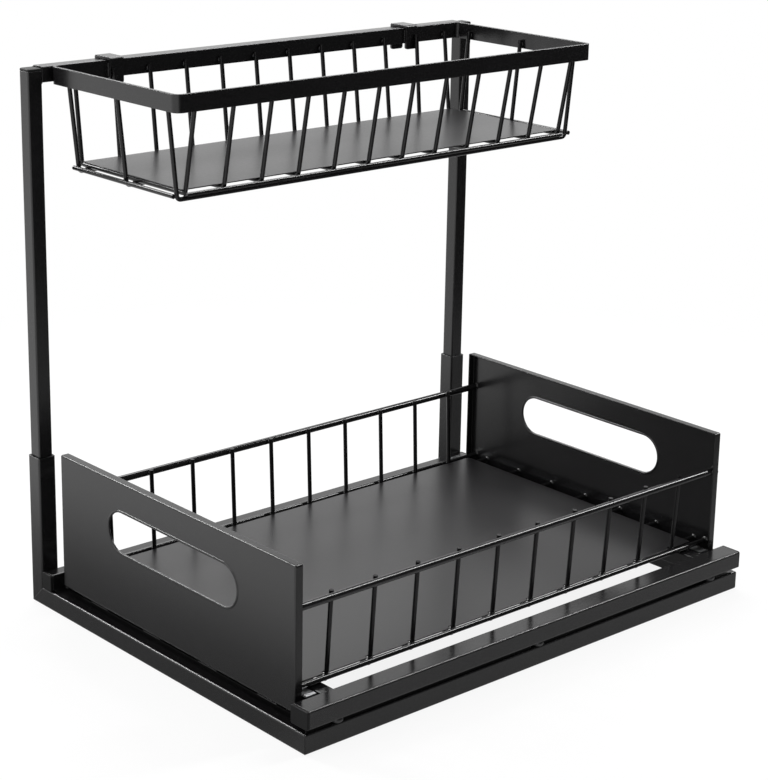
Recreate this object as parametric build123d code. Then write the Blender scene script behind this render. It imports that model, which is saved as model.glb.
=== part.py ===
"""Pull-out cabinet basket.

A square-tube base frame carries two posts and, on ball slides, a drawer frame.
A sheet-and-wire tray sits in the drawer frame and lifts out; a wire basket hangs
on the cross bar between the posts.  Millimetres, +Z up, front faces -Y.  Y is
measured from the base's front face while the pieces are built, and every piece is
moved so that the bounding box's bottom centre is the origin when it is saved.
"""
import os
from math import atan, cos, sin, radians, tan

from build123d import *

os.makedirs("parts", exist_ok=True)

# ---------------------------------------------------------------- overall sizes
WIDTH = 450.0                 # across the frame
BASE_DEPTH = 336.0            # front face of the base to the back of the sockets
BAR_PROUD = 2.5               # drawer front bar, in front of the base
HEAD_PROUD = 1.0              # screw heads and hook straps, behind the sockets
TOP_Z = 424.0                 # top of the hook straps
HALF = WIDTH / 2
FRONT_Y, REAR_Y = -BAR_PROUD, BASE_DEPTH + HEAD_PROUD
Y_MID = (FRONT_Y + REAR_Y) / 2

# ------------------------------------------------------------- fits and clearances
SHELF_GAP = 0.3               # between a lift-off piece and what it rests on
STEM_GAP = 0.05               # round a rubber stem, and round a screw in its hole
PLUG_GAP = 0.1                # each side of a plastic plug in its tube
POST_GAP = 0.3                # each side of a post in its socket
PAST = 1.0                    # how far a cutting shape passes the face it cuts

# --------------------------------------------------------------------- base frame
TUBE, TUBE_WALL, TUBE_R = 15.0, 1.2, 1.5
SOCKET_TOP = 121.0
POST, POST_WALL, POST_R = 12.0, 1.0, 1.2
CAP_LIP = 2.0                 # cap above the post's cut end
CAP_DROP = 1.1                # cap's top below the cross bar's
POST_SCREW_Z = 100.0
SCREW_D, NUT_D, SCREW_HEAD = 4.0, 6.0, 7.6
STOP_DEPTH, STOP_HEIGHT = 12.0, 13.5              # rear stop bar on the side tubes
STOP_Y = (BASE_DEPTH - TUBE - STOP_DEPTH, BASE_DEPTH - TUBE)
STOP_Z = (TUBE, TUBE + STOP_HEIGHT)
PAD_D, PAD_Y, PAD_IN = 8.6, 3.4, 30.5             # pads; outer ones in from the end
PAD_X = (PAD_IN - HALF, 0.0, HALF - PAD_IN)

# ------------------------------------------------------------------------- slides
SHEET = 1.2                   # wall of both slide members
BRACKET = 1.5                 # thickness of the upright plate behind each slide
SLIDE_OUT = HALF - TUBE - BRACKET                 # |X| of the outer member's back
SLIDE_W, SLIDE_H = 8.5, 16.0  # outer member's depth and height
SLIDE_Y = (18.0, STOP_Y[0] - 1.0)
SLIDE_Z = 23.8                # centre line
MEMBER_W, MEMBER_H = 6.1, 4.4     # inner member's depth, and flange off the centre line
BALL_D, BALL_ROW = 2.2, 5.6   # ball, and its height off the centre line
BALL_X = SLIDE_OUT - 6.2      # |X| of the rows of balls
CAGE_OUT, CAGE_W, CAGE_H, CAGE_T = SLIDE_OUT - 2.6, 4.5, 5.9, 0.6
BALL_PITCH, BALLS = 9.0, 10
CAGE_Y = (SLIDE_Y[0] + 100, SLIDE_Y[0] + 100 + BALLS * BALL_PITCH)    # drawer shut
RIVET_R = 1.6

# ------------------------------------------------------------------- drawer frame
BAR_Y, BAR_Z = (FRONT_Y, 15.5), (18.8, 32.7)      # front bar over the base's front bar
RAIL_OUT = SLIDE_OUT - SLIDE_W - 1.5              # |X| of the two side rails
RAIL_W, RAIL_R = 12.0, 1.0
RAIL_IN = RAIL_OUT - RAIL_W
RAIL_Z = (20.0, 32.0)
RAIL_END = SLIDE_Y[1] - 6.0
STRIP_W, STRIP_T = 20.0, 3.0
STRIP_Y = (RAIL_END - 12 - STRIP_W, RAIL_END - 12)
STRIP_Z = (RAIL_Z[0] - STRIP_T, RAIL_Z[0])
END_PLATE = 2.0               # thickness of a plug's visible plate
STEM = 8.0                    # length of a plug's stem in its tube
STEM_R = 0.6

# --------------------------------------------------------------------------- tray
PANEL_OUT, PANEL_T, FLANGE = HALF - 6.6, 1.0, 6.5
PANEL_Y, PANEL_Z = (BAR_Y[1] + 3.5, STOP_Y[0] - 8), (21.5, 129.0)
PANEL_R = 1.5
SLOT_Y, SLOT_Z, SLOT_L, SLOT_H = sum(PANEL_Y) / 2, 89.7, 156.0, 33.0
WIRE = 3.4                    # diameter of all the basket wire
CROSS_Z = RAIL_Z[1] + SHELF_GAP + WIRE / 2        # cross rods rest on the rails
TRAY_WIRE_Z = CROSS_Z - WIRE                      # long wires, welded under them
TRAY_WIRES, TRAY_WIRE_IN = 10, 38.4               # outer wire in from the panel
TRAY_PITCH = 2 * (PANEL_OUT - TRAY_WIRE_IN) / (TRAY_WIRES - 1)
TRAY_BEND = 3.0
RAIL_ROD = 5.5                # diameter of the two top rods of the tray
FRONT_ROD_Z, REAR_ROD_Z = 96.3, 98.2
FRONT_LEAN, REAR_LEAN = 0.068, -0.045             # run over rise of the fence wires
WIRE_STUB = 3.0               # how far the fence wires pass above the rod's centre
FOOT_ROD, FOOT_Z = 4.0, 35.1  # rods along the foot of the two fences
CROSS_RODS, CROSS_IN = 7, (20.5, 21.5)            # end rods in from the panel's edges
FLOOR_T, FLOOR_R = 0.8, 2.0
FLOOR_SIDE, FLOOR_REAR = 15.4, 13.0               # floor in from the panels' faces
FLOOR_LAP = 1.3               # floor's front edge, behind the foot rod
NOTCH = 5.0                   # width of the floor's notch round a fence wire

# ------------------------------------------------------------------- upper basket
STRAP_T, STRAP_W = 2.0, 12.5
STRAP_IN = 50.2               # strap in from the rim's end
STRAP_TIP, STRAP_BACK = TOP_Z - 20, TOP_Z - 22
RIM_T, RIM_R = 2.0, 6.0
RIM_Z = (TOP_Z - STRAP_T - 13, TOP_Z - STRAP_T)
RIM_X = HALF - 19.3
RIM_DEPTH = 156.5
RIM_Y = (BASE_DEPTH - TUBE - RIM_DEPTH, BASE_DEPTH - TUBE)
UP_WIRES, UP_WIRE_IN = 12, 18.7
UP_PITCH = 2 * (RIM_X - UP_WIRE_IN) / (UP_WIRES - 1)
UP_TOP, UP_WIRE_Z, UP_BEND = RIM_Z[0] + 7, RIM_Z[0] - 60.5, 3.5
UP_FRONT_FOOT, UP_REAR_FOOT = RIM_Y[0] + 16.5, RIM_Y[1] - 11.5
SIDE_FIRST, SIDE_LAST = UP_FRONT_FOOT - 0.7, UP_REAR_FOOT - 7.1
SIDE_Y = (SIDE_FIRST, (SIDE_FIRST + SIDE_LAST) / 2, SIDE_LAST)
SIDE_FOOT = RIM_X - 11.2
RING_Z = UP_WIRE_Z - 0.4
RING_PAST = 1.0               # foot rods past the centre of the last wire
STRAP_X = (RIM_X - STRAP_IN - STRAP_W, RIM_X - STRAP_IN)
UP_FLOOR = (SIDE_FOOT - 6.5, UP_FRONT_FOOT + 2.9, UP_REAR_FOOT - 3.2)
BAR_TOP = TOP_Z - STRAP_T - SHELF_GAP             # top of the cross bar
CAP_TOP = BAR_TOP - CAP_DROP
POST_TOP = CAP_TOP - CAP_LIP                      # cut end of the post, under its cap


# ------------------------------------------------------------------------ helpers
def box(x, y, z):
    """Block between the given pairs of coordinates."""
    size = [max(p) - min(p) for p in (x, y, z)]
    return Pos(*[(max(p) + min(p)) / 2 for p in (x, y, z)]) * Box(*size)


def along(axis, start, u, v):
    """Plane square to an axis at start, centred on (u, v) of the other two axes."""
    if axis == "x":
        return Plane(origin=(start, u, v), x_dir=(0, 1, 0), z_dir=(1, 0, 0))
    if axis == "y":
        return Plane(origin=(u, start, v), x_dir=(-1, 0, 0), z_dir=(0, 1, 0))
    return Plane(origin=(u, v, start), x_dir=(1, 0, 0), z_dir=(0, 0, 1))


def bar(axis, span, u, v, r, wall=None):
    """Rounded bar along an axis; u and v are pairs; hollow when a wall is given."""
    w, h = u[1] - u[0], v[1] - v[0]
    plane = along(axis, span[0], sum(u) / 2, sum(v) / 2)
    face = RectangleRounded(w, h, r)
    if wall:
        face -= RectangleRounded(w - 2 * wall, h - 2 * wall, max(r - wall, 0.3))
    return extrude(plane * face, amount=span[1] - span[0])


def rod(axis, span, u, v, dia):
    """Round rod along an axis."""
    return extrude(along(axis, span[0], u, v) * Circle(dia / 2), amount=span[1] - span[0])


def wedge(axis, corners, span):
    """Triangular prism along an axis, used to cut mitres."""
    put = {"x": lambda u, v: (span[0], u, v), "z": lambda u, v: (u, v, span[0])}[axis]
    way = {"x": (1, 0, 0), "z": (0, 0, 1)}[axis]
    face = make_face(Polyline(*[put(u, v) for u, v in corners], close=True))
    return extrude(face, amount=span[1] - span[0], dir=way)


def bent(points, dia, bend):
    """Round wire along a polyline with rounded corners."""
    path = FilletPolyline(*points, radius=bend)
    return sweep(Plane(origin=path @ 0, z_dir=path % 0) * Circle(dia / 2), path=path)


def other(solid):
    """The same piece on the other side of the object."""
    return mirror(solid, about=Plane.YZ)


def save(name, *shapes):
    solids = [s for shape in shapes for s in shape.solids()]
    body = solids[0] if len(solids) == 1 else Compound(solids)
    export_step(Pos(0, -Y_MID, 0) * body, f"parts/{name}.step")


def both(name, right):
    """Save a piece and its mirror image, right (+X) and left (-X)."""
    save(name + "_right", right)
    save(name + "_left", other(right))


# --------------------------------------------------------------------- base frame
inner = HALF - TUBE
socket_y = (BASE_DEPTH - TUBE, BASE_DEPTH)

side = bar("y", (0, BASE_DEPTH), (inner, HALF), (0, TUBE), TUBE_R, TUBE_WALL)
side -= wedge("z", [(inner, 0), (HALF, 0), (inner, TUBE)], (-PAST, TUBE + PAST))
side -= wedge("x", [(BASE_DEPTH, 0), (BASE_DEPTH, TUBE), (socket_y[0], TUBE)],
              (inner - PAST, HALF + PAST))
both("base_side_tube", side)

socket = bar("z", (0, SOCKET_TOP), (inner, HALF), socket_y, TUBE_R, TUBE_WALL)
socket -= wedge("x", [(socket_y[0], 0), (BASE_DEPTH, 0), (socket_y[0], TUBE)],
                (inner - PAST, HALF + PAST))
screw_hole = rod("y", (BASE_DEPTH - 2 * TUBE_WALL, BASE_DEPTH + PAST), HALF - TUBE / 2,
                 POST_SCREW_Z, SCREW_D + 2 * STEM_GAP)
socket -= screw_hole
both("socket_tube", socket)

front = bar("x", (-HALF, HALF), (0, TUBE), (0, TUBE), TUBE_R, TUBE_WALL)
for s in (-1, 1):
    front -= wedge("z", [(s * HALF, 0), (s * HALF, TUBE), (s * inner, TUBE)],
                   (-PAST, TUBE + PAST))
for x in PAD_X:
    front -= rod("z", (TUBE - 2 * TUBE_WALL, TUBE + PAST), x, PAD_Y, PAD_D / 2 - 0.3 + 2 * STEM_GAP)
save("base_front_bar", front)

save("base_rear_bar", bar("x", (-inner, inner), socket_y, (0, TUBE), TUBE_R, TUBE_WALL))

stop_span = HALF - END_PLATE
save("rear_stop_bar", bar("x", (-stop_span, stop_span), STOP_Y, STOP_Z, TUBE_R, TUBE_WALL))


def end_plug(y, z, r, wall, start):
    """Plate that closes a bar's +X end, with its stem inside the bar."""
    plate = bar("x", (start, start + END_PLATE), y, z, r)
    edge = plate.faces().sort_by(Axis.X)[-1].edges()
    plate = fillet(edge, 0.6)
    g = wall + PLUG_GAP
    stem = bar("x", (start - STEM, start), (y[0] + g, y[1] - g), (z[0] + g, z[1] - g), STEM_R)
    return plate + stem


plug = end_plug(STOP_Y, STOP_Z, TUBE_R, TUBE_WALL, stop_span)
save("rear_stop_bar_plugs", plug, other(plug))

# upright plates that hold the slides, welded to the side tubes' inner faces
bracket = box((SLIDE_OUT, inner), SLIDE_Y, (TUBE_R, SLIDE_Z + SLIDE_H / 2))
RIVET_Y = (SLIDE_Y[0] + 30, sum(SLIDE_Y) / 2, SLIDE_Y[1] - 30)
for y in RIVET_Y:
    bracket -= rod("x", (SLIDE_OUT - PAST, inner + PAST), y, SLIDE_Z, 2 * RIVET_R)
both("slide_bracket", bracket)

# posts in their sockets, with cross bar, caps, screws and rivet nuts
g = TUBE_WALL + POST_GAP
post_x = (inner + g, HALF - g)
post_y = (socket_y[0] + g, BASE_DEPTH - g)
post = bar("z", (TUBE_WALL, POST_TOP), post_x, post_y, POST_R, POST_WALL)
nut_y = post_y[1] - POST_WALL
post -= rod("y", (nut_y - PAST, post_y[1] + PAST), HALF - TUBE / 2, POST_SCREW_Z, NUT_D)
both("post", post)

cross = bar("x", (-post_x[0], post_x[0]), post_y, (BAR_TOP - POST, BAR_TOP), POST_R, POST_WALL)
save("top_cross_bar", cross)

cap = bar("z", (POST_TOP, CAP_TOP), post_x, post_y, POST_R)
cap = fillet(cap.faces().sort_by(Axis.Z)[-1].edges(), 0.45 * CAP_LIP)
g = POST_WALL + PLUG_GAP
cap += bar("z", (POST_TOP - 1.5 * STEM, POST_TOP), (post_x[0] + g, post_x[1] - g),
           (post_y[0] + g, post_y[1] - g), STEM_R)
save("post_end_caps", cap, other(cap))

screw_at = (HALF - TUBE / 2, POST_SCREW_Z)
nut = rod("y", (nut_y - 8, post_y[1]), *screw_at, NUT_D)
nut += rod("y", (nut_y - 3, nut_y), *screw_at, NUT_D + 2)
nut -= rod("y", (nut_y - 9, post_y[1] + PAST), *screw_at, SCREW_D)
save("post_rivet_nuts", nut, other(nut))

head = rod("y", (BASE_DEPTH, REAR_Y), *screw_at, SCREW_HEAD)
head = fillet(head.faces().sort_by(Axis.Y)[-1].edges(), 0.7 * HEAD_PROUD)
screw = head + rod("y", (nut_y - 7, BASE_DEPTH), *screw_at, SCREW_D)
drive = Plane(origin=(screw_at[0], REAR_Y, POST_SCREW_Z), x_dir=(1, 0, 0), z_dir=(0, 1, 0))
screw -= extrude(drive * (Rectangle(3.6, 0.8) + Rectangle(0.8, 3.6)), amount=-0.8 * HEAD_PROUD)
save("post_fixing_screws", screw, other(screw))

pads = []
for x in PAD_X:
    pad = rod("z", (TUBE, BAR_Z[0] - SHELF_GAP), x, PAD_Y, PAD_D)
    pad = fillet(pad.faces().sort_by(Axis.Z)[-1].edges(), 0.8)
    pads.append(pad + rod("z", (TUBE - 5, TUBE), x, PAD_Y, PAD_D / 2 - 0.3))
save("bumper_pads", *pads)

# ------------------------------------------------------------------------- slides
half_h = SLIDE_H / 2
slide_in = SLIDE_OUT - SLIDE_W    # |X| of the outer member's open lips
cut_y = (SLIDE_Y[0] - PAST, SLIDE_Y[1] + PAST)
race = half_h - SHEET         # flange's inner face, off the centre line
outer = box((slide_in, SLIDE_OUT), SLIDE_Y, (SLIDE_Z - half_h, SLIDE_Z + half_h))
outer -= box((slide_in - PAST, SLIDE_OUT - SHEET), cut_y, (SLIDE_Z - race, SLIDE_Z + race))
for s in (-1, 1):
    outer += box((slide_in, slide_in + 1), SLIDE_Y, (SLIDE_Z + s * (race - 0.6), SLIDE_Z + s * race))
for y in RIVET_Y:
    outer -= rod("x", (SLIDE_OUT - 2 * SHEET, SLIDE_OUT + PAST), y, SLIDE_Z, 2 * RIVET_R)
both("slide_outer", outer)

rivets = []
for y in RIVET_Y:
    rivet = rod("x", (SLIDE_OUT - SHEET, inner), y, SLIDE_Z, 2 * RIVET_R)
    rivet += rod("x", (SLIDE_OUT - SHEET - 0.7, SLIDE_OUT - SHEET), y, SLIDE_Z, 5.6)
    rivets.append(rivet + rod("x", (inner, inner + 0.5), y, SLIDE_Z, 4.8))
save("slide_outer_rivets", *rivets, *[other(r) for r in rivets])

member_x = (RAIL_OUT, RAIL_OUT + MEMBER_W)
slim = box(member_x, SLIDE_Y, (SLIDE_Z - MEMBER_H, SLIDE_Z + MEMBER_H))
slim -= box((RAIL_OUT + SHEET, member_x[1] + PAST), cut_y,
            (SLIDE_Z - MEMBER_H + SHEET, SLIDE_Z + MEMBER_H - SHEET))
for s in (-1, 1):
    slim += box((member_x[1] - 1, member_x[1]), SLIDE_Y,
                (SLIDE_Z + s * MEMBER_H, SLIDE_Z + s * (MEMBER_H + 0.6)))
RAIL_RIVET_Y = (SLIDE_Y[0] + 42, (sum(SLIDE_Y) - 6) / 2, SLIDE_Y[1] - 48)
for y in RAIL_RIVET_Y:
    slim -= rod("x", (RAIL_OUT - PAST, RAIL_OUT + 2 * SHEET), y, SLIDE_Z, 2 * RIVET_R)
both("slide_inner", slim)

cage = box((CAGE_OUT - CAGE_W, CAGE_OUT), CAGE_Y, (SLIDE_Z - CAGE_H, SLIDE_Z + CAGE_H))
cage -= box((CAGE_OUT - CAGE_W - PAST, CAGE_OUT - CAGE_T), cut_y,
            (SLIDE_Z - CAGE_H + CAGE_T, SLIDE_Z + CAGE_H - CAGE_T))
balls = []
for i in range(BALLS):
    y = CAGE_Y[0] + (i + 0.5) * BALL_PITCH
    cage -= rod("z", (SLIDE_Z - half_h, SLIDE_Z + half_h), BALL_X, y, BALL_D + 0.2)
    for s in (-1, 1):
        balls.append(Pos(BALL_X, y, SLIDE_Z + s * BALL_ROW) * Sphere(BALL_D / 2))
both("ball_cage", cage)
save("slide_balls_right", *balls)
save("slide_balls_left", *[other(b) for b in balls])

# ------------------------------------------------------------------- drawer frame
bar_span = HALF - END_PLATE
save("drawer_front_bar", bar("x", (-bar_span, bar_span), BAR_Y, BAR_Z, TUBE_R, TUBE_WALL))
plug = end_plug(BAR_Y, BAR_Z, TUBE_R, TUBE_WALL, bar_span)
save("drawer_front_bar_plugs", plug, other(plug))

rail = bar("y", (BAR_Y[1], RAIL_END), (RAIL_IN, RAIL_OUT), RAIL_Z, RAIL_R, TUBE_WALL)
for y in RAIL_RIVET_Y:
    rail -= rod("x", (RAIL_OUT - 2 * TUBE_WALL, RAIL_OUT + PAST), y, SLIDE_Z, 2 * RIVET_R)
both("drawer_side_rail", rail)

rivets = []
for y in RAIL_RIVET_Y:
    a = RAIL_OUT - TUBE_WALL
    rivet = rod("x", (a, RAIL_OUT + SHEET), y, SLIDE_Z, 2 * RIVET_R)
    rivet += rod("x", (a - 0.8, a), y, SLIDE_Z, 4.4)
    rivets.append(rivet + rod("x", (RAIL_OUT + SHEET, RAIL_OUT + SHEET + 0.7), y, SLIDE_Z, 5.2))
save("slide_inner_rivets", *rivets, *[other(r) for r in rivets])

g = TUBE_WALL + PLUG_GAP
plug = bar("y", (RAIL_END, RAIL_END + END_PLATE), (RAIL_IN, RAIL_OUT), RAIL_Z, RAIL_R)
plug += bar("y", (RAIL_END - STEM, RAIL_END), (RAIL_IN + g, RAIL_OUT - g),
            (RAIL_Z[0] + g, RAIL_Z[1] - g), STEM_R)
save("drawer_rail_plugs", plug, other(plug))

save("drawer_rear_strip", box((-RAIL_OUT + 2, RAIL_OUT - 2), STRIP_Y, STRIP_Z))

# --------------------------------------------------------------------------- tray
web = PANEL_OUT - PANEL_T
panel = box((PANEL_OUT - FLANGE, PANEL_OUT), PANEL_Y, PANEL_Z)
outer_face = panel.faces().sort_by(Axis.X)[-1]
panel = fillet(outer_face.edges() + panel.edges().filter_by(Axis.X), PANEL_R)
hollow = box((PANEL_OUT - 2 * FLANGE, web), (PANEL_Y[0] + PANEL_T, PANEL_Y[1] - PANEL_T),
             (PANEL_Z[0] + PANEL_T, PANEL_Z[1] - PANEL_T))
web_face = hollow.faces().sort_by(Axis.X)[-1]
panel -= fillet(web_face.edges() + hollow.edges().filter_by(Axis.X), PANEL_R - PANEL_T)
slot = Plane(origin=(web - PAST, SLOT_Y, SLOT_Z), x_dir=(0, 1, 0), z_dir=(1, 0, 0))
panel -= extrude(slot * SlotOverall(SLOT_L, SLOT_H), amount=PANEL_T + 2 * PAST)
both("tray_side_panel", panel)

r_wire = WIRE / 2
reach = RAIL_ROD / 2 + r_wire
front_rod_y = PANEL_Y[0] + PANEL_T + RAIL_ROD / 2
rear_rod_y = PANEL_Y[1] - PANEL_T - RAIL_ROD / 2
front_wire = front_rod_y + reach / cos(atan(FRONT_LEAN))     # at the rod's height
rear_wire = rear_rod_y - reach / cos(atan(REAR_LEAN))


def front_at(z):
    return front_wire + (FRONT_ROD_Z - z) * FRONT_LEAN


def rear_at(z):
    return rear_wire + (REAR_ROD_Z - z) * REAR_LEAN


wires, tray_wire_x = [], [(i - (TRAY_WIRES - 1) / 2) * TRAY_PITCH for i in range(TRAY_WIRES)]
for x in tray_wire_x:
    zf, zr = FRONT_ROD_Z + WIRE_STUB, REAR_ROD_Z + WIRE_STUB
    wires.append(bent([(x, front_at(zf), zf), (x, front_at(TRAY_WIRE_Z), TRAY_WIRE_Z),
                       (x, rear_at(TRAY_WIRE_Z), TRAY_WIRE_Z), (x, rear_at(zr), zr)],
                      WIRE, TRAY_BEND))
save("tray_fence_wires", *wires)

first, last = PANEL_Y[0] + CROSS_IN[0], PANEL_Y[1] - CROSS_IN[1]
save("tray_cross_rods", *[rod("x", (-web, web), first + (last - first) * k / (CROSS_RODS - 1),
                              CROSS_Z, WIRE) for k in range(CROSS_RODS)])
ends = (-web + 0.6, web - 0.6)      # the top rods stop short of the panel's inside corner
save("tray_front_top_rod", rod("x", ends, front_rod_y, FRONT_ROD_Z, RAIL_ROD))
save("tray_rear_top_rod", rod("x", ends, rear_rod_y, REAR_ROD_Z, RAIL_ROD))
step = (FOOT_ROD + WIRE) / 2
foot_y = front_at(FOOT_Z) - step / cos(atan(FRONT_LEAN))
save("tray_front_foot_rod", rod("x", (-web, web), foot_y, FOOT_Z, FOOT_ROD))
save("tray_rear_foot_rod", rod("x", (-web, web), rear_at(FOOT_Z) + step / cos(atan(REAR_LEAN)),
                               FOOT_Z, FOOT_ROD))
fx, floor_z = PANEL_OUT - FLOOR_SIDE, CROSS_Z + r_wire
front_edge = foot_y + FOOT_ROD / 2 + FLOOR_LAP
notch_end = front_at(floor_z) + r_wire + (NOTCH - WIRE) / 2
plate = bar("z", (floor_z, floor_z + FLOOR_T), (-fx, fx), (front_edge, PANEL_Y[1] - FLOOR_REAR),
            FLOOR_R)
for x in tray_wire_x:
    plate -= box((x - NOTCH / 2, x + NOTCH / 2), (front_edge - PAST, notch_end),
                 (floor_z - PAST, floor_z + FLOOR_T + PAST))
save("tray_floor", plate)

# ------------------------------------------------------------------- upper basket
rim = bar("z", RIM_Z, (-RIM_X, RIM_X), RIM_Y, RIM_R)
rim -= bar("z", (RIM_Z[0] - PAST, RIM_Z[1] + PAST), (-RIM_X + RIM_T, RIM_X - RIM_T),
           (RIM_Y[0] + RIM_T, RIM_Y[1] - RIM_T), RIM_R - RIM_T)
save("upper_rim", rim)


def lean_top(rim_face, foot, drop):
    """Wire centre at its top end so that the leaning wire just meets the rim's face."""
    way = 1 if foot > rim_face else -1
    y = rim_face
    for _ in range(20):
        y = rim_face + way * r_wire * cos(atan(abs(foot - y) / drop))
    return y


drop = UP_TOP - UP_WIRE_Z
wires = []
for i in range(UP_WIRES):
    x = (i - (UP_WIRES - 1) / 2) * UP_PITCH
    at_strap = STRAP_X[0] < abs(x) < STRAP_X[1]
    y0 = lean_top(RIM_Y[0] + RIM_T, UP_FRONT_FOOT, drop)
    y1 = lean_top(RIM_Y[1] - RIM_T - (STRAP_T if at_strap else 0), UP_REAR_FOOT, drop)
    wires.append(bent([(x, y0, UP_TOP), (x, UP_FRONT_FOOT, UP_WIRE_Z),
                       (x, UP_REAR_FOOT, UP_WIRE_Z), (x, y1, UP_TOP)], WIRE, UP_BEND))
save("upper_cross_wires", *wires)

side_z = UP_WIRE_Z - WIRE
side_x = -lean_top(-RIM_X + RIM_T, -SIDE_FOOT, UP_TOP - side_z)
save("upper_side_wires", *[bent([(-side_x, y, UP_TOP), (-SIDE_FOOT, y, side_z),
                                 (SIDE_FOOT, y, side_z), (side_x, y, UP_TOP)], WIRE, UP_BEND)
                           for y in SIDE_Y])


def beside_bend(top, foot, rise, foot_z, z):
    """Centre of a rod that rests outside a wire's bend at height z."""
    way = 1 if foot > top else -1
    turn = radians(90) - atan(abs(foot - top) / rise)
    centre = foot + way * UP_BEND * tan(turn / 2)
    off = (foot_z + UP_BEND - z) / (UP_BEND + WIRE)
    return centre - way * (UP_BEND + WIRE) * (1 - off ** 2) ** 0.5


front_ring = beside_bend(lean_top(RIM_Y[0] + RIM_T, UP_FRONT_FOOT, drop), UP_FRONT_FOOT, drop,
                         UP_WIRE_Z, RING_Z)
rear_ring = beside_bend(lean_top(RIM_Y[1] - RIM_T, UP_REAR_FOOT, drop), UP_REAR_FOOT, drop,
                        UP_WIRE_Z, RING_Z)
side_ring = beside_bend(side_x, SIDE_FOOT, UP_TOP - side_z, side_z, RING_Z)
end_x = UP_PITCH * (UP_WIRES - 1) / 2 + RING_PAST
save("upper_long_foot_rods", rod("x", (-end_x, end_x), front_ring, RING_Z, WIRE),
     rod("x", (-end_x, end_x), rear_ring, RING_Z, WIRE))
side_rod = rod("y", (SIDE_Y[0] - RING_PAST, SIDE_Y[2] + RING_PAST), side_ring, RING_Z, WIRE)
save("upper_side_foot_rods", side_rod, other(side_rod))

fx, f0, f1 = UP_FLOOR
floor_z = UP_WIRE_Z + r_wire
save("upper_floor_plate", bar("z", (floor_z, floor_z + FLOOR_T), (-fx, fx), (f0, f1), FLOOR_R))

# hook straps, welded to the rear rail's inner face and hooked over the cross bar
y0, y1 = RIM_Y[1] - RIM_T - STRAP_T, REAR_Y
profile = Polyline((STRAP_X[0], y0, STRAP_TIP), (STRAP_X[0], y0, TOP_Z), (STRAP_X[0], y1, TOP_Z),
                   (STRAP_X[0], y1, STRAP_BACK), (STRAP_X[0], y1 - STRAP_T, STRAP_BACK),
                   (STRAP_X[0], y1 - STRAP_T, TOP_Z - STRAP_T),
                   (STRAP_X[0], y0 + STRAP_T, TOP_Z - STRAP_T),
                   (STRAP_X[0], y0 + STRAP_T, STRAP_TIP), close=True)
strap = extrude(make_face(profile), amount=STRAP_X[1] - STRAP_X[0], dir=(1, 0, 0))
crown = strap.edges().filter_by(Axis.X).filter_by(lambda e: e.center().Z > TOP_Z - 0.01)
strap = fillet(crown, 1.8)
tips = strap.edges().filter_by(Axis.Y).filter_by(lambda e: e.center().Z < STRAP_TIP + 0.01)
strap = fillet(tips, 2.0)
both("hook_strap", strap)
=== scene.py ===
"""Pull-out cabinet basket: weld beads, slot lips, bumpers, finishes, studio and camera.

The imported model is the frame.  The weld beads, the rolled lips of the handle slots
and the bumpers' barrel shape are worked out here from the places of its pieces.
Every piece gets its finish, and a white table, lamps and the camera stand round it.
Metres.
"""
from math import cos, pi, radians, sin

import bpy
import numpy as np
from mathutils import Matrix, Vector


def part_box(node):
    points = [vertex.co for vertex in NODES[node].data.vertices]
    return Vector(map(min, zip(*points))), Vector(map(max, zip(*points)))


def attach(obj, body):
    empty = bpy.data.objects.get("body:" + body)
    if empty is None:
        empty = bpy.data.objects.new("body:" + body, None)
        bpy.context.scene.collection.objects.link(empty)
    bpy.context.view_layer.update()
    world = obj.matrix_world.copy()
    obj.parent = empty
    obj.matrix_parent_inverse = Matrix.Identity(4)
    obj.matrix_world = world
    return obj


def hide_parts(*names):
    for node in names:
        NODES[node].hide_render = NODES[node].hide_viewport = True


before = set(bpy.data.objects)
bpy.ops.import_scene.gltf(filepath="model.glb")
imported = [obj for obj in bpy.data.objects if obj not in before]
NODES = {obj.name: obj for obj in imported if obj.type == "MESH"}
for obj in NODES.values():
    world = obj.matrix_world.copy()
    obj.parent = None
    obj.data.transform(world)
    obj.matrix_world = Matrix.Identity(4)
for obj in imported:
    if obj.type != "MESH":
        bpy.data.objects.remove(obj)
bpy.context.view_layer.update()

MM = 0.001


# ------------------------------------------------------------------ surfaces
def place_of(node):
    """Lowest corner, highest corner and middle of a node, as arrays."""
    low, high = (np.array(corner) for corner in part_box(node))
    return low, high, (low + high) / 2


def skin(name, groups, body, finish):
    """One piece from groups of ring-built shells.

    Each group is an array of k shells by m rings by n points.  A ring's points join
    to the next ring's in quads; a closed group's last ring joins its first, and an
    open one is shut at both ends by a fan round the middle of its end ring.
    """
    points, faces, count = [], [], 0
    for rings, closed in groups:
        k, m, n, _ = rings.shape
        index = count + np.arange(k * m * n).reshape(k, m, n)
        along = np.roll(index, -1, 1) if closed else index[:, 1:]
        here = index if closed else index[:, :-1]
        quads = np.stack([here, np.roll(here, -1, 2), np.roll(along, -1, 2), along], -1)
        faces += quads.reshape(-1, 4).tolist()
        points.append(rings.reshape(-1, 3))
        count += k * m * n
        if not closed:
            for end, turn in ((0, 1), (m - 1, -1)):
                middle = count + np.arange(k)[:, None] + np.zeros((k, n), int)
                rim = index[:, end]
                fan = np.stack([middle, np.roll(rim, -1, 1), rim], -1)
                faces += (fan if turn > 0 else fan[..., ::-1]).reshape(-1, 3).tolist()
                points.append(rings[:, end].mean(1))
                count += k
    mesh = bpy.data.meshes.new(name)
    mesh.from_pydata(np.concatenate(points).tolist(), [], faces)
    mesh.update()
    mesh.polygons.foreach_set("use_smooth", np.ones(len(mesh.polygons), bool))
    obj = bpy.data.objects.new(name, mesh)
    bpy.context.scene.collection.objects.link(obj)
    obj.data.materials.append(finish)
    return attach(obj, body)


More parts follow.
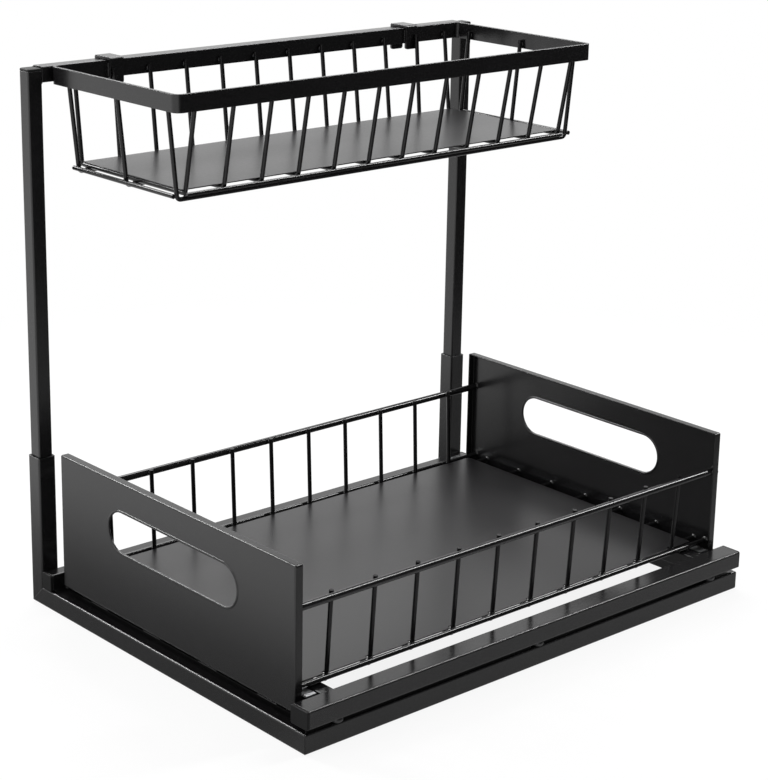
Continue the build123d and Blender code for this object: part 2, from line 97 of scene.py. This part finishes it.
def nuggets(centres, half, around=12, rings=7):
    """Weld nuggets: each is an ellipsoid, centre + half * (cos a sin b, sin a sin b, cos b),
    with b from near one pole to near the other."""
    a = np.linspace(0, 2 * pi, around, endpoint=False)
    b = np.linspace(0.25, pi - 0.25, rings)[:, None]
    unit = np.stack([np.cos(a) * np.sin(b), np.sin(a) * np.sin(b), np.cos(b) + 0 * a], -1)
    spread = np.ones((len(centres), 1, 1, 3)) * np.array(half)
    return np.array(centres)[:, None, None] + spread * unit, False


def frames_of(start, end):
    """Unit vectors along and square to each run from start to end."""
    way = end - start
    way = way / np.linalg.norm(way, axis=-1, keepdims=True)
    other = np.where(np.abs(way[:, 2:]) > 0.8, [1.0, 0, 0], [0, 0, 1.0])
    u = np.cross(way, other)
    u /= np.linalg.norm(u, axis=-1, keepdims=True)
    return way, u, np.cross(way, u)


def beads(runs, radius, pitch=1.7 * MM, around=10, stations=36):
    """Weld beads: a circle carried along each straight run, its radius swelling once
    per pitch and falling off at both ends as the eighth root of 1 - (2t - 1)^8."""
    start, end = (np.array([run[i] for run in runs], float) for i in (0, 1))
    _, u, v = frames_of(start, end)
    t = np.linspace(0.002, 0.998, stations)[None, :, None, None]
    length = np.linalg.norm(end - start, axis=-1)[:, None, None, None]
    swell = radius * (1 + 0.11 * np.sin(2 * pi * t * length / pitch))
    swell = swell * (1 - (2 * t - 1) ** 8) ** 0.125
    a = np.linspace(0, 2 * pi, around, endpoint=False)[None, None, :, None]
    line = start[:, None, None] + t * (end - start)[:, None, None]
    return line + swell * (np.cos(a) * u[:, None, None] + np.sin(a) * v[:, None, None]), False


def collars(feet, ways, radius, size, around=20, rings=6):
    """Fillet welds where rods meet a plate: a circle about the rod's axis whose radius
    runs from radius + size at the plate to radius at size above it, on a hollow curve,
    with a slight ripple round the rod."""
    feet, ways = np.array(feet, float), np.array(ways, float)
    _, u, v = frames_of(feet, feet + ways)
    t = np.linspace(0, 1, rings)[None, :, None, None]
    a = np.linspace(0, 2 * pi, around, endpoint=False)[None, None, :, None]
    ripple = 1 + 0.07 * np.sin(5 * a)
    wide = radius + size * (1 - t) ** 1.6 * ripple - 0.15 * MM * (t == 1)
    high = size * (t - 0.12)
    centre = feet[:, None, None] + high * ways[:, None, None]
    return centre + wide * (np.cos(a) * u[:, None, None] + np.sin(a) * v[:, None, None]), False


def lip(middle, length, height, radius, around=10, stations=120):
    """Rolled lip of a slot: a circle carried round a stadium in the plane square to X,
    whose outline is two half circles of half the height joined by straight runs."""
    r, half = height / 2, (length - height) / 2
    loop = 4 * half + 2 * pi * r
    s = np.linspace(0, loop, stations, endpoint=False)
    on_top, right = s < 2 * half, (s >= 2 * half) & (s < 2 * half + pi * r)
    under = (s >= 2 * half + pi * r) & (s < 4 * half + pi * r)
    turn = np.where(right, (s - 2 * half) / r, (s - 4 * half - pi * r) / r + pi)
    y = np.select([on_top, right, under], [s - half, half + r * np.sin(turn),
                                           half - (s - 2 * half - pi * r)],
                  -half + r * np.sin(turn))
    z = np.select([on_top, right, under], [r + 0 * s, r * np.cos(turn), -r + 0 * s],
                  r * np.cos(turn))
    ny = np.where(on_top | under, 0, np.sin(turn))
    nz = np.select([on_top, under], [1 + 0 * s, -1 + 0 * s], np.cos(turn))
    a = np.linspace(0, 2 * pi, around, endpoint=False)
    off = radius * np.cos(a)[None, :]
    ring = np.stack([middle[0] + radius * np.sin(a)[None, :] + 0 * s[:, None],
                     middle[1] + y[:, None] + off * ny[:, None],
                     middle[2] + z[:, None] + off * nz[:, None]], -1)
    return ring[None], True


# ------------------------------------------------------------------ shader tools
class Value:
    """An output socket that takes part in Python sums; each operator adds a Math node."""

    def __init__(self, sheet, socket):
        self.sheet, self.socket = sheet, socket

    def math(self, operation, *values):
        return self.sheet.node("Math", {"operation": operation}, dict(enumerate(values)))

    def __add__(self, other):
        return self.math("ADD", self, other)

    def __sub__(self, other):
        return self.math("SUBTRACT", self, other)

    def __rsub__(self, other):
        return self.math("SUBTRACT", other, self)

    def __mul__(self, other):
        return self.math("MULTIPLY", self, other)

    def __abs__(self):
        return self.math("ABSOLUTE", self)

    __radd__, __rmul__ = __add__, __mul__

    def most(self, other):
        return self.math("MAXIMUM", self, other)

    def least(self, other):
        return self.math("MINIMUM", self, other)

    def rise(self, low, high):
        """0 below low, 1 above high, and a smooth S between them."""
        ends = {"Value": self, "From Min": low, "From Max": high, "To Min": 0.0, "To Max": 1.0}
        return self.sheet.node("MapRange", {"interpolation_type": "SMOOTHSTEP"}, ends)


class Sheet:
    """One node tree; node() makes a node, sets it, then joins or fills its sockets."""

    def __init__(self, tree, ending="OutputMaterial"):
        self.tree, self.ending = tree, ending
        tree.nodes.clear()

    def node(self, kind, settings=None, inputs=None, out=0):
        made = self.tree.nodes.new("ShaderNode" + kind)
        for key, value in (settings or {}).items():
            setattr(made, key, value)
        for key, value in (inputs or {}).items():
            self.join(value, made.inputs[key])
        return Value(self, made.outputs[out])

    def join(self, value, socket):
        if isinstance(value, Value):
            self.tree.links.new(value.socket, socket)
        else:
            socket.default_value = value

    def where(self):
        return self.node("TexCoord", out="Object")

    def axes(self):
        parts = self.node("SeparateXYZ", inputs={0: self.where()}).socket.node.outputs
        return [Value(self, parts[i]) for i in range(3)]

    def cloud(self, scale, detail=2.0, stretch=None):
        """Noise on the piece's own coordinates, drawn out along an axis by stretch."""
        at = self.where()
        if stretch:
            at = self.node("Mapping", inputs={"Vector": at, "Scale": stretch})
        return self.node("TexNoise", {}, {"Vector": at, "Scale": scale, "Detail": detail})

    def tint(self, factor, first, second):
        """First colour where the factor is 0, second where it is 1."""
        inputs = {0: factor, 6: (*first, 1) if isinstance(first, tuple) else first,
                  7: (*second, 1) if isinstance(second, tuple) else second}
        return self.node("Mix", {"data_type": "RGBA"}, inputs, out=2)

    def bump(self, height, depth, rounding=0.0):
        """Normals for a relief of height * depth, over edges rounded by a radius."""
        inputs = {"Height": height, "Distance": depth}
        if rounding:
            inputs["Normal"] = self.node("Bevel", {"samples": 6}, {"Radius": rounding})
        return self.node("Bump", {}, inputs)

    def surface(self, shader):
        end = self.tree.nodes.new("ShaderNode" + self.ending)
        self.join(shader, end.inputs["Surface"])


def finish(name, look, **fixed):
    """Material whose look(sheet) gives what varies and whose fixed values stay put."""
    material = bpy.data.materials.new(name)
    material.use_nodes = True
    sheet = Sheet(material.node_tree)
    inputs = {key.replace("_", " "): value for key, value in fixed.items()}
    inputs.update(look(sheet))
    sheet.surface(sheet.node("BsdfPrincipled", {}, inputs))
    return material


# ------------------------------------------------------------------ finishes
EDGE = 0.9 * MM               # how far the coat rounds the edges over


def powder(tone, rough, grain=1.0, line=None, rounding=EDGE):
    """Black powder coat: orange peel from fine noise, cloudy gloss, a few dust specks,
    softened edges, and a thin pale line where a mitre was welded and ground."""
    def look(sheet):
        cloud, peel = sheet.cloud(11.0, 3.0), sheet.cloud(620.0, 1.0)
        speck = sheet.cloud(2300.0, 0.0).rise(0.76, 0.84)
        dark = tuple(0.82 * c for c in tone)
        light = tuple(1.2 * c for c in tone)
        colour = sheet.tint(cloud, dark, light)
        colour = sheet.tint(speck * 0.35, colour, (0.06, 0.06, 0.06))
        height = peel * grain
        if line:
            seam = line(sheet)
            colour = sheet.tint(seam, colour, (0.045, 0.045, 0.046))
            height = height - seam * 22.0
        shine = rough + (cloud - 0.5) * 0.1 + (peel - 0.5) * 0.06
        return {"Base Color": colour, "Roughness": shine,
                "Normal": sheet.bump(height, 0.012 * MM, rounding)}
    return look


def plastic(tone, rough):
    """Moulded plastic: fine spark-eroded grain and faint flow lines."""
    def look(sheet):
        grain, flow = sheet.cloud(1500.0, 2.0), sheet.cloud(40.0, 2.0, (1, 1, 0.3))
        colour = sheet.tint(flow, tuple(0.85 * c for c in tone), tuple(1.15 * c for c in tone))
        return {"Base Color": colour, "Roughness": rough + (grain - 0.5) * 0.15,
                "Normal": sheet.bump(grain, 0.02 * MM)}
    return look


def zinc(tone, rough):
    """Zinc-plated strip: drawn streaks along the slide, with a soft blotchy bloom."""
    def look(sheet):
        streak = sheet.cloud(900.0, 3.0, (1, 0.02, 1))
        bloom = sheet.cloud(60.0, 3.0)
        colour = sheet.tint(bloom, tuple(0.8 * c for c in tone), tone)
        shine = rough + (streak - 0.5) * 0.16 + (bloom - 0.5) * 0.1
        return {"Base Color": colour, "Roughness": shine,
                "Normal": sheet.bump(streak, 0.01 * MM)}
    return look


def ground_steel(sheet):
    """Polished balls with a thin film of grease."""
    film = sheet.cloud(700.0, 2.0)
    return {"Base Color": sheet.tint(film, (0.5, 0.5, 0.5), (0.66, 0.65, 0.63)),
            "Roughness": 0.12 + film * 0.14, "Normal": sheet.bump(film, 0.003 * MM)}


base_low, base_high, _ = place_of("base_front_bar")
_, socket_high, _ = place_of("socket_tube_left")
HAIR = 0.5 * MM               # width of a mitre's line to either side


def front_mitre(sheet):
    """Nearness to the plane in which |x| + y is the front corner's."""
    x, y, _ = sheet.axes()
    off = abs(abs(x) + y - (float(base_high[0]) + float(base_low[1])))
    return 1 - off.rise(0.3 * HAIR, HAIR)


def both_mitres(sheet):
    """The front corner's plane, and the rear one in which y + z is the foot's."""
    _, y, z = sheet.axes()
    off = abs(y + z - float(socket_high[1]))
    return front_mitre(sheet).most(1 - off.rise(0.3 * HAIR, HAIR))


def rear_mitre(sheet):
    _, y, z = sheet.axes()
    return 1 - abs(y + z - float(socket_high[1])).rise(0.3 * HAIR, HAIR)


INK = (0.0055, 0.0053, 0.0057)
COAT = {"Metallic": 0.0, "IOR": 1.5}
tube_coat = finish("black_powder_tube", powder(INK, 0.2), **COAT)
side_coat = finish("black_powder_side_tube", powder(INK, 0.2, line=both_mitres), **COAT)
front_coat = finish("black_powder_front_tube", powder(INK, 0.2, line=front_mitre), **COAT)
socket_coat = finish("black_powder_socket", powder(INK, 0.2, line=rear_mitre), **COAT)
sheet_coat = finish("black_powder_sheet", powder(INK, 0.23, 0.8), **COAT)
floor_coat = finish("black_powder_floor", powder((0.0085, 0.0081, 0.0088), 0.31, 1.2),
                    Specular_IOR_Level=0.43, **COAT)
rod_coat = finish("black_powder_rod", powder(INK, 0.15, 0.5, rounding=0.0), **COAT)
lip_coat = finish("black_powder_lip", powder(INK, 0.2, 0.5, rounding=0.0), **COAT)
wire_coat = finish("black_powder_wire", powder(INK, 0.17, 0.7, rounding=0.0),
                   Specular_IOR_Level=0.3, **COAT)
weld_coat = finish("black_powder_weld", powder(INK, 0.24, 1.6, rounding=0.0),
                   Specular_IOR_Level=0.4, **COAT)
plug_plastic = finish("black_moulded_plastic", plastic((0.005, 0.005, 0.0052), 0.5),
                      Specular_IOR_Level=0.2, **COAT)
pad_rubber = finish("grey_soft_plastic", plastic((0.03, 0.03, 0.031), 0.3), **COAT)
slide_zinc = finish("zinc_plated_steel", zinc((0.58, 0.59, 0.6), 0.32), Metallic=1.0)
rivet_zinc = finish("zinc_plated_rivet", zinc((0.5, 0.5, 0.5), 0.38), Metallic=1.0)
ball_finish = finish("ground_steel_ball", ground_steel, Metallic=1.0)
screw_black = finish("black_oxide_screw", zinc((0.05, 0.05, 0.055), 0.36), Metallic=1.0)

WEARS = {
    front_coat: "base_front_bar",
    side_coat: "base_side_tube_left base_side_tube_right",
    socket_coat: "socket_tube_left socket_tube_right",
    tube_coat: "base_rear_bar rear_stop_bar slide_bracket_left slide_bracket_right "
               "post_left post_right top_cross_bar drawer_front_bar drawer_side_rail_left "
               "drawer_side_rail_right drawer_rear_strip upper_rim hook_strap_left "
               "hook_strap_right",
    sheet_coat: "tray_side_panel_left tray_side_panel_right",
    floor_coat: "tray_floor upper_floor_plate",
    rod_coat: "tray_front_top_rod tray_rear_top_rod tray_front_foot_rod "
              "tray_rear_foot_rod upper_long_foot_rods",
    wire_coat: "tray_fence_wires tray_cross_rods upper_cross_wires upper_side_wires "
               "upper_side_foot_rods",
    plug_plastic: "rear_stop_bar_plugs post_end_caps drawer_front_bar_plugs "
                  "drawer_rail_plugs",
    pad_rubber: "bumper_pads",
    slide_zinc: "slide_outer_left slide_outer_right slide_inner_left slide_inner_right "
                "ball_cage_left ball_cage_right",
    rivet_zinc: "slide_outer_rivets slide_inner_rivets post_rivet_nuts",
    ball_finish: "slide_balls_left slide_balls_right",
    screw_black: "post_fixing_screws",
}
for material, names in WEARS.items():
    for name in names.split():
        for held in NODES[name].material_slots:
            held.material = material

# ------------------------------------------------------------------ tray welds
WIRE_R = 1.7 * MM
PANEL_T = 1.0 * MM            # thickness of the panels' sheet
SIDES = (-1, 1)
ROD_NUGGET = (2.0 * MM, 1.1 * MM, 1.9 * MM)       # half sizes along X, Y and Z
CROSSING_NUGGET = (1.9 * MM, 1.9 * MM, 0.7 * MM)
FLANGE_NUGGET = (1.5 * MM, 1.0 * MM, 2.3 * MM)


def spread(node, axis, count, radius=WIRE_R):
    """Centres of count evenly spaced wires across a node's box along one axis."""
    low, high, _ = place_of(node)
    return np.linspace(low[axis] + radius, high[axis] - radius, count)


def every(xs, ys, z):
    """All crossings of the lines at xs and ys, at height z."""
    x, y = np.meshgrid(xs, ys)
    return np.stack([x.ravel(), y.ravel(), np.full(x.size, z)], -1)


panel_low, panel_high, panel_mid = place_of("tray_side_panel_right")
web = panel_high[0] - PANEL_T
flange_edge = panel_low[0]
wire_x = spread("tray_fence_wires", 0, 10)
rod_y = spread("tray_cross_rods", 1, 7)
wire_low = place_of("tray_fence_wires")[0]

spots = []
for node, inward in (("tray_front_top_rod", 1), ("tray_rear_top_rod", -1),
                     ("tray_front_foot_rod", 1), ("tray_rear_foot_rod", -1)):
    low, high, mid = place_of(node)
    touch = mid[1] + inward * (high[2] - low[2]) / 2
    spots.append(nuggets(every(wire_x, [touch], mid[2]), ROD_NUGGET))
for node, size in (("tray_front_foot_rod", 1.3 * MM), ("tray_rear_foot_rod", 1.3 * MM)):
    low, high, mid = place_of(node)
    spots.append(collars([(s * web, mid[1], mid[2]) for s in SIDES],
                         [(-s, 0, 0) for s in SIDES], (high[2] - low[2]) / 2, size))
for node in ("tray_front_top_rod", "tray_rear_top_rod"):
    low, high, mid = place_of(node)
    r = (high[2] - low[2]) / 2
    spots.append(collars([(s * web, mid[1], mid[2]) for s in SIDES],
                         [(-s, 0, 0) for s in SIDES], r, 1.2 * MM))
    near = low[1] if mid[1] < 0 else high[1]
    spots.append(nuggets([(s * (flange_edge + 0.6 * MM), near, mid[2]) for s in SIDES],
                         FLANGE_NUGGET))
rod_z = place_of("tray_cross_rods")[2][2]
spots.append(collars([(s * web, y, rod_z) for s in SIDES for y in rod_y],
                     [(-s, 0, 0) for s in SIDES for _ in rod_y], WIRE_R, 1.1 * MM))
spots.append(nuggets(every(wire_x, rod_y, wire_low[2] + 2 * WIRE_R), CROSSING_NUGGET))
skin("tray_weld_beads", spots, "tray", weld_coat)

# rolled lips round the handle slots, whose size is that of the slots cut in the panels
SLOT_LONG, SLOT_HIGH, SLOT_Z = 156.0 * MM, 33.0 * MM, 89.7 * MM
LIP_PAST, LIP_R = 0.6 * MM, 1.1 * MM              # lip's run past the slot, and its radius
slot_y = panel_mid[1]
for side, label in ((-1, "left"), (1, "right")):
    at = (side * (web + 0.5 * MM), slot_y, SLOT_Z)
    roll = lip(at, SLOT_LONG + LIP_PAST, SLOT_HIGH + LIP_PAST, LIP_R)
    skin("tray_slot_lip_" + label, [roll], "tray", lip_coat)

# ------------------------------------------------------------------ upper basket welds
rim_low, rim_high, _ = place_of("upper_rim")
RIM_T = 2.0 * MM
RIM_LONG_NUGGET, RIM_END_NUGGET = (2.0 * MM, 1.0 * MM, 2.6 * MM), (1.0 * MM, 2.0 * MM, 2.6 * MM)
LONG_FOOT_NUGGET, END_FOOT_NUGGET = (1.9 * MM, 0.8 * MM, 1.4 * MM), (0.8 * MM, 1.9 * MM, 1.4 * MM)
up_x = spread("upper_cross_wires", 0, 12)
side_y = spread("upper_side_wires", 1, 3)
hang = rim_low[2] + 3.4 * MM
wire_foot = place_of("upper_cross_wires")[0][2]
strap_low, strap_high, _ = place_of("hook_strap_right")
free_x = [x for x in up_x if not strap_low[0] < abs(x) < strap_high[0]]
spots = [
    nuggets(every(up_x, [rim_low[1] + RIM_T], hang), RIM_LONG_NUGGET),
    nuggets(every(free_x, [rim_high[1] - RIM_T], hang), RIM_LONG_NUGGET),
    nuggets(every([s * (rim_high[0] - RIM_T) for s in SIDES], side_y, hang), RIM_END_NUGGET),
    nuggets(every(up_x, side_y, wire_foot + 0.05 * MM), CROSSING_NUGGET),
]
ring_low, ring_high, ring_mid = place_of("upper_long_foot_rods")
spots.append(nuggets(every(up_x, [ring_low[1] + 2 * WIRE_R, ring_high[1] - 2 * WIRE_R],
                           ring_mid[2] + 0.4 * MM), LONG_FOOT_NUGGET))
end_low, end_high, end_mid = place_of("upper_side_foot_rods")
spots.append(nuggets(every([end_low[0] + 2 * WIRE_R, end_high[0] - 2 * WIRE_R], side_y,
                           end_mid[2] + 0.2 * MM), END_FOOT_NUGGET))
strap_y = rim_high[1] - RIM_T
runs = [((s * x, strap_y, rim_low[2] + 1 * MM), (s * x, strap_y, rim_high[2] - 2 * MM))
        for s in SIDES for x in (strap_low[0], strap_high[0])]
spots.append(beads(runs, 0.9 * MM))
skin("upper_basket_weld_beads", spots, "upper_basket", weld_coat)

# ------------------------------------------------------------------ frame welds
side_low, side_high, _ = place_of("base_side_tube_right")
TUBE = side_high[0] - side_low[0]
inner, back = side_low[0], socket_high[1] - TUBE
front_in = base_low[1] + TUBE
post_low, _, _ = place_of("post_right")
cross_low, cross_high, _ = place_of("top_cross_bar")
stop_low, _, _ = place_of("rear_stop_bar")
bracket_low, bracket_high, _ = place_of("slide_bracket_right")
STITCH = 22 * MM              # length of the welds that hold the brackets
runs = []
for s in SIDES:
    runs += [((s * inner, front_in, 1 * MM), (s * inner, front_in, TUBE - 1 * MM)),
             ((s * inner, back, 1 * MM), (s * inner, back, TUBE - 1 * MM)),
             ((s * (inner + 1 * MM), stop_low[1] + 1 * MM, TUBE + 0.1 * MM),
              (s * (side_high[0] - 4 * MM), stop_low[1] + 1 * MM, TUBE + 0.1 * MM))]
    x = s * post_low[0]
    runs += [((x, cross_high[1], cross_low[2] + 1 * MM),
              (x, cross_high[1], cross_high[2] - 1 * MM)),
             ((x, cross_low[1] + 1 * MM, cross_low[2]),
              (x, cross_high[1] - 1 * MM, cross_low[2]))]
    for y in np.linspace(bracket_low[1] + 30 * MM, bracket_high[1] - 55 * MM, 4):
        z = TUBE - 0.4 * MM
        runs.append(((s * inner, y, z), (s * inner, y + STITCH, z)))
skin("frame_weld_beads", [beads(runs, 1.1 * MM)], "frame", weld_coat)

# ------------------------------------------------------------------ bumpers
def barrels(middles, low, high, radius, bulge, around=28, rings=11):
    """Squeezed bumpers: circles about Z whose radius is radius + bulge * sin(pi t) from
    the foot, t = 0, to the crown, t = 1, with both ends rounded in."""
    t = np.linspace(0, 1, rings)
    wide = (radius + bulge * np.sin(pi * t)) * (1 - 0.12 * (np.abs(2 * t - 1)) ** 8)
    a = np.linspace(0, 2 * pi, around, endpoint=False)[None, :]
    ring = np.stack([wide[:, None] * np.cos(a), wide[:, None] * np.sin(a),
                     (low + (high - low) * t)[:, None] + 0 * a], -1)
    return np.array([(x, y, 0) for x, y in middles])[:, None, None] + ring, False


pad_low, pad_high, pad_mid = place_of("bumper_pads")
pad_r = (pad_high[1] - pad_low[1]) / 2
bumpers = skin("bumper_barrels",
               [barrels([(x, pad_mid[1]) for x in (pad_low[0] + pad_r, 0, pad_high[0] - pad_r)],
                        base_high[2], pad_high[2], pad_r - 0.2 * MM, 0.7 * MM)],
               "frame", pad_rubber)
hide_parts("bumper_pads")

# ------------------------------------------------------------------ drawer frame welds
rail_low, rail_high, _ = place_of("drawer_side_rail_right")
_, bar_high, _ = place_of("drawer_front_bar")
strip_low, strip_high, _ = place_of("drawer_rear_strip")
runs = []
for s in SIDES:
    for x in (rail_low[0], rail_high[0]):
        runs.append(((s * x, bar_high[1], rail_low[2] + 1 * MM),
                     (s * x, bar_high[1], rail_high[2] - 1.6 * MM)))
    for y in (strip_low[1], strip_high[1]):
        runs.append(((s * (rail_low[0] + 1 * MM), y, strip_high[2]),
                     (s * (rail_high[0] - 3 * MM), y, strip_high[2])))
skin("drawer_weld_beads", [beads(runs, 0.9 * MM)], "drawer_frame", weld_coat)

# ------------------------------------------------------------------ studio
def bright_side(x, y, near, far):
    """1 towards the back and left, falling to 0.1 towards the front right."""
    return 1 - 0.9 * (x * 0.66 - y * 0.75).rise(near, far)


def table_look():
    """White table: shown as its own white, with the object's shadow kept in part, and
    mirrored as a field with painted shade: dim close round the object, brighter away from it, and
    darker towards the unlit front right."""
    material = bpy.data.materials.new("white_table")
    material.use_nodes = True
    sheet = Sheet(material.node_tree)
    path = sheet.node("LightPath").socket.node.outputs
    seen, mirrored, through = (Value(sheet, path[name]) for name in
                               ("Is Camera Ray", "Is Glossy Ray", "Is Transmission Ray"))
    x, y, _ = sheet.axes()
    # painted shade in reflections: the table's glow for glossy rays is 0.3 close round the object
    # and rises away from it, and the front right is darkened too
    beside = (0 - x).rise(0.25, 0.42).most(y.rise(0.15, 0.5))
    ahead = (0 - y).rise(0.1, 0.2)
    painted_reflection_level = (0.3 + 0.22 * ahead + 0.86 * beside).least(1.2) * bright_side(x, y, 0.3, 0.8)
    strength = 1 - mirrored * (1 - painted_reflection_level)
    white = sheet.node("Emission", {}, {"Color": (1, 1, 1, 1), "Strength": strength})
    paper = sheet.tint(sheet.cloud(30.0, 2.0), (0.8, 0.8, 0.8), (0.84, 0.84, 0.84))
    lit = sheet.node("BsdfDiffuse", {}, {"Color": paper})
    far = (x * x + y * y).rise(0.12, 0.8)
    share = (seen * (0.88 + 0.12 * far) + mirrored + through).least(1.0)
    sheet.surface(sheet.node("MixShader", {}, {0: share, 1: lit, 2: white}))
    return material


def sky_look():
    """White surroundings; what lights and mirrors in the object is dimmer towards the
    front right, where the studio is dark."""
    world = bpy.data.worlds.new("studio")
    bpy.context.scene.world = world
    world.use_nodes = True
    sheet = Sheet(world.node_tree, "OutputWorld")
    path = sheet.node("LightPath").socket.node.outputs
    seen, mirrored = (Value(sheet, path[name]) for name in ("Is Camera Ray", "Is Glossy Ray"))
    through = Value(sheet, path["Is Transmission Ray"])
    parts = sheet.node("SeparateXYZ", inputs={0: sheet.node("TexCoord", out="Generated")})
    x, y = (Value(sheet, parts.socket.node.outputs[i]) for i in (0, 1))
    side = bright_side(x, y, -0.1, 0.75)
    level = side * (0.5 + 0.5 * mirrored)
    strength = level.most(seen).most(through)
    sheet.surface(sheet.node("Background", {}, {"Color": (1, 1, 1, 1), "Strength": strength}))


def lamp(name, at, aim, wide, tall, radiance):
    """Soft box: an area lamp whose watts are radiance * pi * its area."""
    light = bpy.data.lights.new(name, "AREA")
    light.shape, light.size, light.size_y = "RECTANGLE", wide, tall
    light.energy = radiance * pi * wide * tall
    holder = bpy.data.objects.new(name, light)
    bpy.context.scene.collection.objects.link(holder)
    way = Vector(aim) - Vector(at)
    turned = way.to_track_quat("-Z", "Y").to_matrix().to_4x4()
    holder.matrix_world = Matrix.Translation(at) @ turned
    holder.visible_camera = False
    return holder


def table_mesh(half):
    """Square table top, half a side on either hand, whose surface is z = 0."""
    a = np.linspace(-half, half, 9)
    x, y = np.meshgrid(a, a)
    points = np.stack([x.ravel(), y.ravel(), 0 * x.ravel()], -1)
    corner = (np.arange(8)[:, None] * 9 + np.arange(8)).ravel()
    faces = np.stack([corner, corner + 1, corner + 10, corner + 9], -1)
    mesh = bpy.data.meshes.new("table")
    mesh.from_pydata(points.tolist(), [], faces.tolist())
    return mesh


table = bpy.data.objects.new("table", table_mesh(14.0))
bpy.context.scene.collection.objects.link(table)
table.data.materials.append(table_look())
sky_look()
lamp("left_soft_box", (-1.7, 0.55, 0.95), (0, 0, 0.2), 1.1, 1.1, 1.8)
lamp("overhead_soft_box", (0.55, 0.95, 1.75), (0, 0, 0.15), 1.25, 1.25, 5.5)
lamp("front_left_soft_box", (-1.5, -1.9, 1.3), (0, -0.1, 0.1), 0.8, 0.8, 1.2)
lamp("back_edge_light", (-0.57, 1.6, 1.4), (0, 0, 0.15), 0.25, 1.3, 28.0)
lamp("right_edge_light", (1.4, -0.56, 1.6), (0, 0, 0.15), 0.25, 1.3, 28.0)


# ------------------------------------------------------------------ camera
PLACE = (-1.03354, -1.13901, 0.66356)             # metres
LENS, SENSOR = 96.276, 36.0                       # millimetres
SHIFT = (0.0372, -0.0795)                         # shares of the picture's longer side
AZIMUTH, ELEVATION, ROLL = radians(-41.1016), radians(16.0841), radians(0.83)
back_way = Vector((sin(AZIMUTH) * cos(ELEVATION), -cos(AZIMUTH) * cos(ELEVATION),
                   sin(ELEVATION)))
right_way = Vector((0, 0, 1)).cross(back_way).normalized()
up_way = back_way.cross(right_way)
across = right_way * cos(ROLL) + up_way * sin(ROLL)
upward = up_way * cos(ROLL) - right_way * sin(ROLL)
camera = bpy.data.objects.new("camera", bpy.data.cameras.new("camera"))
bpy.context.scene.collection.objects.link(camera)
turn = Matrix((across, upward, back_way)).transposed().to_4x4()
camera.matrix_world = Matrix.Translation(PLACE) @ turn
camera.data.lens, camera.data.sensor_width = LENS, SENSOR
camera.data.shift_x, camera.data.shift_y = SHIFT
camera.data.clip_start, camera.data.clip_end = 0.05, 60.0
bpy.context.scene.camera = camera
bpy.context.scene.view_settings.view_transform = "Standard"
